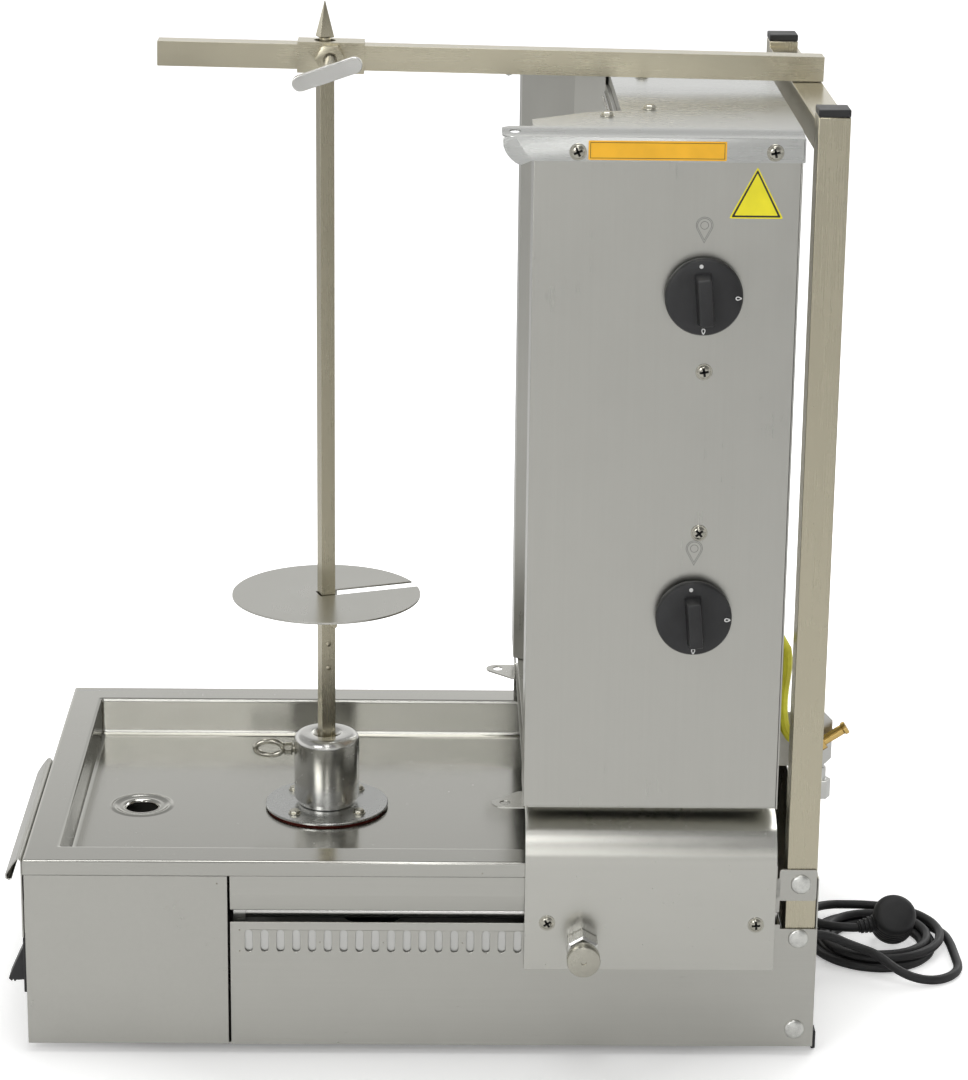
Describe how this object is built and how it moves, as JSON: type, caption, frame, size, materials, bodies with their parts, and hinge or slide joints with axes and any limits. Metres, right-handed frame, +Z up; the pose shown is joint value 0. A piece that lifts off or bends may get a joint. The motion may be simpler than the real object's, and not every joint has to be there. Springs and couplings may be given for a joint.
{
  "type": "vertical rotisserie broiler",
  "caption": "Countertop gas gyros grill: motor-driven vertical spit over a drip tray, sliding burner carriage, post frame with support arm.",
  "frame": {"origin": "middle of the machine box at bench level, without the mains cord", "axes": "+Z up, -Y towards the spit side (front), +X towards the gas knobs"},
  "size_m": [0.4548, 0.8096, 0.833],
  "materials": {
    "brushed_steel": "satin brushed stainless sheet",
    "tube_steel": "satin stainless tube and bar",
    "bright_steel": "turned or plated steel",
    "black_plastic": "fine-grained black plastic",
    "black_rubber": "matt black rubber or PVC",
    "motor_housing": "painted gear case",
    "red_gasket": "thin red gasket",
    "burner_ceramic": "ceramic plaque in a pressed frame",
    "brass": "machined brass",
    "zinc": "zinc-plated fitting",
    "yellow_hose": "yellow gas hose"
  },
  "bodies": {
    "base": {"foot_1": "black_rubber", "foot_2": "black_rubber", "foot_3": "black_rubber", "foot_4": "black_rubber", "bottom_pan": "brushed_steel", "front_cover": "brushed_steel", "side_panel_near": "brushed_steel", "side_panel_far": "brushed_steel", "upper_rail_near": "brushed_steel", "upper_rail_far": "brushed_steel", "rear_panel": "brushed_steel", "drip_tray": "brushed_steel", "guide_rod_near": "bright_steel", "guide_rod_far": "bright_steel", "post_near": "tube_steel", "post_far": "tube_steel", "post_cap_near": "black_plastic", "post_cap_far": "black_plastic", "crossbar": "tube_steel", "support_arm": "tube_steel", "arm_sleeve": "tube_steel", "gear_motor": "motor_housing", "flange_gasket": "red_gasket", "hub_flange": "bright_steel", "switch_housing": "black_plastic", "cord_gland": "black_rubber", "cord_lead": "black_rubber", "cord_coil": "black_rubber", "mains_plug": "black_rubber"},
    "clamp": {"clamp_screw": "bright_steel"},
    "drive": {"drive_shaft": "bright_steel", "spit_hub": "bright_steel"},
    "wing": {"wing_bolt": "bright_steel"},
    "skewer": {"spit": "tube_steel"},
    "disc": {"meat_disc": "brushed_steel"},
    "carriage": {"carriage_saddle": "brushed_steel", "side_casing_near": "brushed_steel", "side_casing_far": "brushed_steel", "hood": "brushed_steel", "carriage_rear_cover": "brushed_steel", "burner_plate": "brushed_steel", "burner_upper": "burner_ceramic", "burner_lower": "burner_ceramic", "gas_valve_upper": "brass", "gas_valve_lower": "brass", "gas_manifold": "brass", "gas_bracket": "brushed_steel", "gas_nozzle": "brass", "gas_hose": "yellow_hose", "gas_test_nipple": "zinc", "carriage_runner_near": "black_plastic", "carriage_runner_far": "black_plastic", "plunger_housing": "bright_steel"},
    "stem_upper": {"valve_stem_upper": "bright_steel"},
    "knob_upper": {"gas_knob_upper": "black_plastic"},
    "stem_lower": {"valve_stem_lower": "bright_steel"},
    "knob_lower": {"gas_knob_lower": "black_plastic"},
    "plunger": {"index_plunger": "bright_steel"},
    "switch": {"rocker": "black_plastic"},
    "drawer": {"grease_drawer": "brushed_steel"}
  },
  "joints": [
    {"name": "spit_drive", "type": "hinge", "parent": "base", "child": "drive", "pos_m": [-0.0169, -0.09023, 0.15], "axis": [0, 0, 1], "continuous": true},
    {"name": "wing_bolt_turn", "type": "hinge", "parent": "drive", "child": "wing", "pos_m": [-0.0169, -0.12623, 0.1893], "axis": [0, 1, 0], "range_deg": [0, 270]},
    {"name": "spit_lift", "type": "slide", "parent": "drive", "child": "skewer", "axis": [0, 0, 1], "range_m": [0, 0.06]},
    {"name": "disc_lift", "type": "slide", "parent": "skewer", "child": "disc", "axis": [0, 0, 1], "range_m": [0, 0.38]},
    {"name": "clamp_turn", "type": "hinge", "parent": "base", "child": "clamp", "pos_m": [-0.0066, -0.08548, 0.7882], "axis": [1, 0, 0], "range_deg": [0, 270]},
    {"name": "carriage_slide", "type": "slide", "parent": "base", "child": "carriage", "axis": [0, -1, 0], "range_m": [0, 0.135]},
    {"name": "upper_knob_push", "type": "slide", "parent": "carriage", "child": "stem_upper", "axis": [-1, 0, 0], "range_m": [0, 0.004], "stiffness_N_per_m": 800},
    {"name": "upper_knob_turn", "type": "hinge", "parent": "stem_upper", "child": "knob_upper", "pos_m": [0.1921, 0.20477, 0.641], "axis": [1, 0, 0], "range_deg": [0, 180]},
    {"name": "lower_knob_push", "type": "slide", "parent": "carriage", "child": "stem_lower", "axis": [-1, 0, 0], "range_m": [0, 0.004], "stiffness_N_per_m": 800},
    {"name": "lower_knob_turn", "type": "hinge", "parent": "stem_lower", "child": "knob_lower", "pos_m": [0.1921, 0.20477, 0.3832], "axis": [1, 0, 0], "range_deg": [0, 180]},
    {"name": "index_pull", "type": "slide", "parent": "carriage", "child": "plunger", "axis": [1, 0, 0], "range_m": [0, 0.008], "stiffness_N_per_m": 600},
    {"name": "switch_rock", "type": "hinge", "parent": "base", "child": "switch", "pos_m": [0.1681, -0.32423, 0.075], "axis": [1, 0, 0], "range_deg": [0, 16]},
    {"name": "drawer_slide", "type": "slide", "parent": "base", "child": "drawer", "axis": [0, -1, 0], "range_m": [0, 0.15]}
  ]
}
